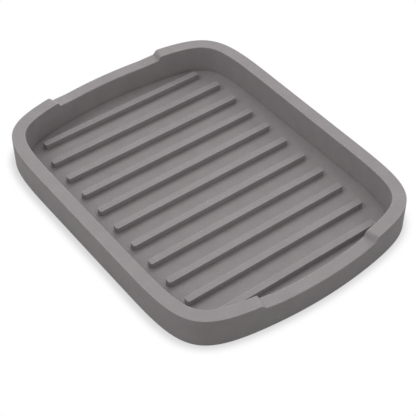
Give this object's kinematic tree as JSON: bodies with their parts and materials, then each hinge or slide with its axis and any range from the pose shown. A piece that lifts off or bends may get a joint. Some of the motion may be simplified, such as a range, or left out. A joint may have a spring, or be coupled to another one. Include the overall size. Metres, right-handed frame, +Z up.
{
  "type": "soap dish",
  "caption": "Low rectangular soap dish in soft grey rubber, with a raised rim that dips at both short ends and parallel ribs that drain the soap.",
  "frame": {"origin": "on the ground under the middle of the dish", "axes": "+X along the dish, +Y along the ribs, +Z up"},
  "size_m": [0.14, 0.1072, 0.0128],
  "materials": {
    "moulded_rubber": "matt, very fine moulded grain"
  },
  "bodies": {
    "root": {"base_floor": "moulded_rubber", "rim_wall": "moulded_rubber", "drain_rib_01": "moulded_rubber", "drain_rib_02": "moulded_rubber", "drain_rib_03": "moulded_rubber", "drain_rib_04": "moulded_rubber", "drain_rib_05": "moulded_rubber", "drain_rib_06": "moulded_rubber", "drain_rib_07": "moulded_rubber", "drain_rib_08": "moulded_rubber", "drain_rib_09": "moulded_rubber", "drain_rib_10": "moulded_rubber", "drain_rib_11": "moulded_rubber"}
  },
  "joints": []
}
